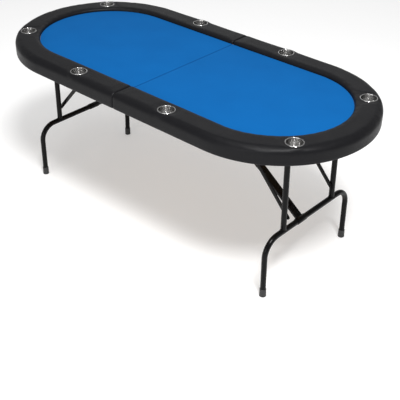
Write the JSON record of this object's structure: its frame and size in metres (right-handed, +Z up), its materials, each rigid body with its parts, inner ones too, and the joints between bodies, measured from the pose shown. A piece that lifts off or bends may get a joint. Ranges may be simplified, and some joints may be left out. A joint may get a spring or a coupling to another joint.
{
  "type": "folding poker table",
  "caption": "Racetrack-shaped card table that folds in half, with padded rail, felt, built-in cups and folding tube leg frames with jointed stays.",
  "frame": {"origin": "centre of the table on the floor, under the middle of the fold line", "axes": "+X along the long axis to the right half, +Y across the table, +Z up"},
  "size_m": [1.906, 0.892, 0.7627],
  "materials": {
    "felt": "blue speed cloth, matte",
    "vinyl": "charcoal vinyl over foam, satin",
    "cup_steel": "polished stainless steel",
    "wood": "raw board",
    "foot_plastic": "black plastic",
    "black_tube": "gloss black powder coat",
    "bolt_steel": "zinc plated",
    "zinc": "zinc plated sheet"
  },
  "bodies": {
    "left_top": {"bolt_guide": "zinc", "left_apron": "wood", "left_board": "wood", "left_far_end_cup": "cup_steel", "left_far_hinge_leaf": "zinc", "left_far_leg_bracket": "zinc", "left_far_side_cup": "cup_steel", "left_felt": "felt", "left_main_stay_bracket": "zinc", "left_near_end_cup": "cup_steel", "left_near_hinge_leaf": "zinc", "left_near_leg_bracket": "zinc", "left_near_side_cup": "cup_steel", "left_rail_pad": "vinyl", "left_side_stay_strip": "zinc"},
    "hinge_links": {"near_hinge_link": "zinc", "far_hinge_link": "zinc"},
    "right_top": {"bolt_keeper": "zinc", "right_apron": "wood", "right_board": "wood", "right_far_end_cup": "cup_steel", "right_far_hinge_leaf": "zinc", "right_far_leg_bracket": "zinc", "right_far_side_cup": "cup_steel", "right_felt": "felt", "right_main_stay_bracket": "zinc", "right_near_end_cup": "cup_steel", "right_near_hinge_leaf": "zinc", "right_near_leg_bracket": "zinc", "right_near_side_cup": "cup_steel", "right_rail_pad": "vinyl", "right_side_stay_strip": "zinc"},
    "slide_bolt": {"slide_bolt": "bolt_steel"},
    "left_leg_frame": {"left_far_foot_cap": "foot_plastic", "left_lower_leg_bow": "black_tube", "left_near_foot_cap": "foot_plastic", "left_upper_leg_bow": "black_tube"},
    "left_main_stay_lower": {"left_main_stay_lower": "black_tube"},
    "left_main_stay_upper": {"left_main_stay_upper": "black_tube"},
    "left_side_stays_lower": {"left_far_side_stay_lower": "black_tube", "left_near_side_stay_lower": "black_tube"},
    "left_side_stays_upper": {"left_far_side_stay_upper": "black_tube", "left_near_side_stay_upper": "black_tube"},
    "right_leg_frame": {"right_far_foot_cap": "foot_plastic", "right_lower_leg_bow": "black_tube", "right_near_foot_cap": "foot_plastic", "right_upper_leg_bow": "black_tube"},
    "right_main_stay_lower": {"right_main_stay_lower": "black_tube"},
    "right_main_stay_upper": {"right_main_stay_upper": "black_tube"},
    "right_side_stays_lower": {"right_far_side_stay_lower": "black_tube", "right_near_side_stay_lower": "black_tube"},
    "right_side_stays_upper": {"right_far_side_stay_upper": "black_tube", "right_near_side_stay_upper": "black_tube"}
  },
  "joints": [
    {"name": "left_hinge_pins", "type": "hinge", "parent": "left_top", "child": "hinge_links", "pos_m": [-0.012, 0, 0.6905], "axis": [0, 1, 0], "range_deg": [0, 90]},
    {"name": "right_hinge_pins", "type": "hinge", "parent": "hinge_links", "child": "right_top", "pos_m": [0.012, 0, 0.6905], "axis": [0, 1, 0], "range_deg": [0, 90]},
    {"name": "bolt_slide", "type": "slide", "parent": "left_top", "child": "slide_bolt", "axis": [-1, 0, 0], "range_m": [-0.03, 0]},
    {"name": "right_leg_fold", "type": "hinge", "parent": "right_top", "child": "right_leg_frame", "pos_m": [0.7195, 0, 0.7], "axis": [0, 1, 0], "range_deg": [0, 90.86]},
    {"name": "right_main_stay_lower_turn", "type": "hinge", "parent": "right_leg_frame", "child": "right_main_stay_lower", "pos_m": [0.72591, 0, 0.273], "axis": [0, 1, 0], "range_deg": [0, 49.29]},
    {"name": "right_main_stay_upper_turn", "type": "hinge", "parent": "right_top", "child": "right_main_stay_upper", "pos_m": [0.12371, 0, 0.7235], "axis": [0, 1, 0], "range_deg": [-36.3, 0]},
    {"name": "right_side_stays_lower_turn", "type": "hinge", "parent": "right_leg_frame", "child": "right_side_stays_lower", "pos_m": [0.72486, 0, 0.343], "axis": [0, 1, 0], "range_deg": [0, 40.13]},
    {"name": "right_side_stays_upper_turn", "type": "hinge", "parent": "right_top", "child": "right_side_stays_upper", "pos_m": [0.39801, 0, 0.706], "axis": [0, 1, 0], "range_deg": [-48.3, 0]},
    {"name": "left_leg_fold", "type": "hinge", "parent": "left_top", "child": "left_leg_frame", "pos_m": [-0.7195, 0, 0.7], "axis": [0, -1, 0], "range_deg": [0, 90.86]},
    {"name": "left_main_stay_lower_turn", "type": "hinge", "parent": "left_leg_frame", "child": "left_main_stay_lower", "pos_m": [-0.72591, 0, 0.273], "axis": [0, -1, 0], "range_deg": [0, 49.29]},
    {"name": "left_main_stay_upper_turn", "type": "hinge", "parent": "left_top", "child": "left_main_stay_upper", "pos_m": [-0.12371, 0, 0.7235], "axis": [0, -1, 0], "range_deg": [-36.3, 0]},
    {"name": "left_side_stays_lower_turn", "type": "hinge", "parent": "left_leg_frame", "child": "left_side_stays_lower", "pos_m": [-0.72486, 0, 0.343], "axis": [0, -1, 0], "range_deg": [0, 40.13]},
    {"name": "left_side_stays_upper_turn", "type": "hinge", "parent": "left_top", "child": "left_side_stays_upper", "pos_m": [-0.39801, 0, 0.706], "axis": [0, -1, 0], "range_deg": [-48.3, 0]}
  ],
  "couplings": [
    {"joint": "right_main_stay_lower_turn", "follows": "right_leg_fold", "ratio": 0.53915},
    {"joint": "right_main_stay_upper_turn", "follows": "right_leg_fold", "ratio": -0.39622},
    {"joint": "right_side_stays_lower_turn", "follows": "right_leg_fold", "ratio": 0.43835},
    {"joint": "right_side_stays_upper_turn", "follows": "right_leg_fold", "ratio": -0.52829},
    {"joint": "left_main_stay_lower_turn", "follows": "left_leg_fold", "ratio": 0.53915},
    {"joint": "left_main_stay_upper_turn", "follows": "left_leg_fold", "ratio": -0.39622},
    {"joint": "left_side_stays_lower_turn", "follows": "left_leg_fold", "ratio": 0.43835},
    {"joint": "left_side_stays_upper_turn", "follows": "left_leg_fold", "ratio": -0.52829}
  ]
}
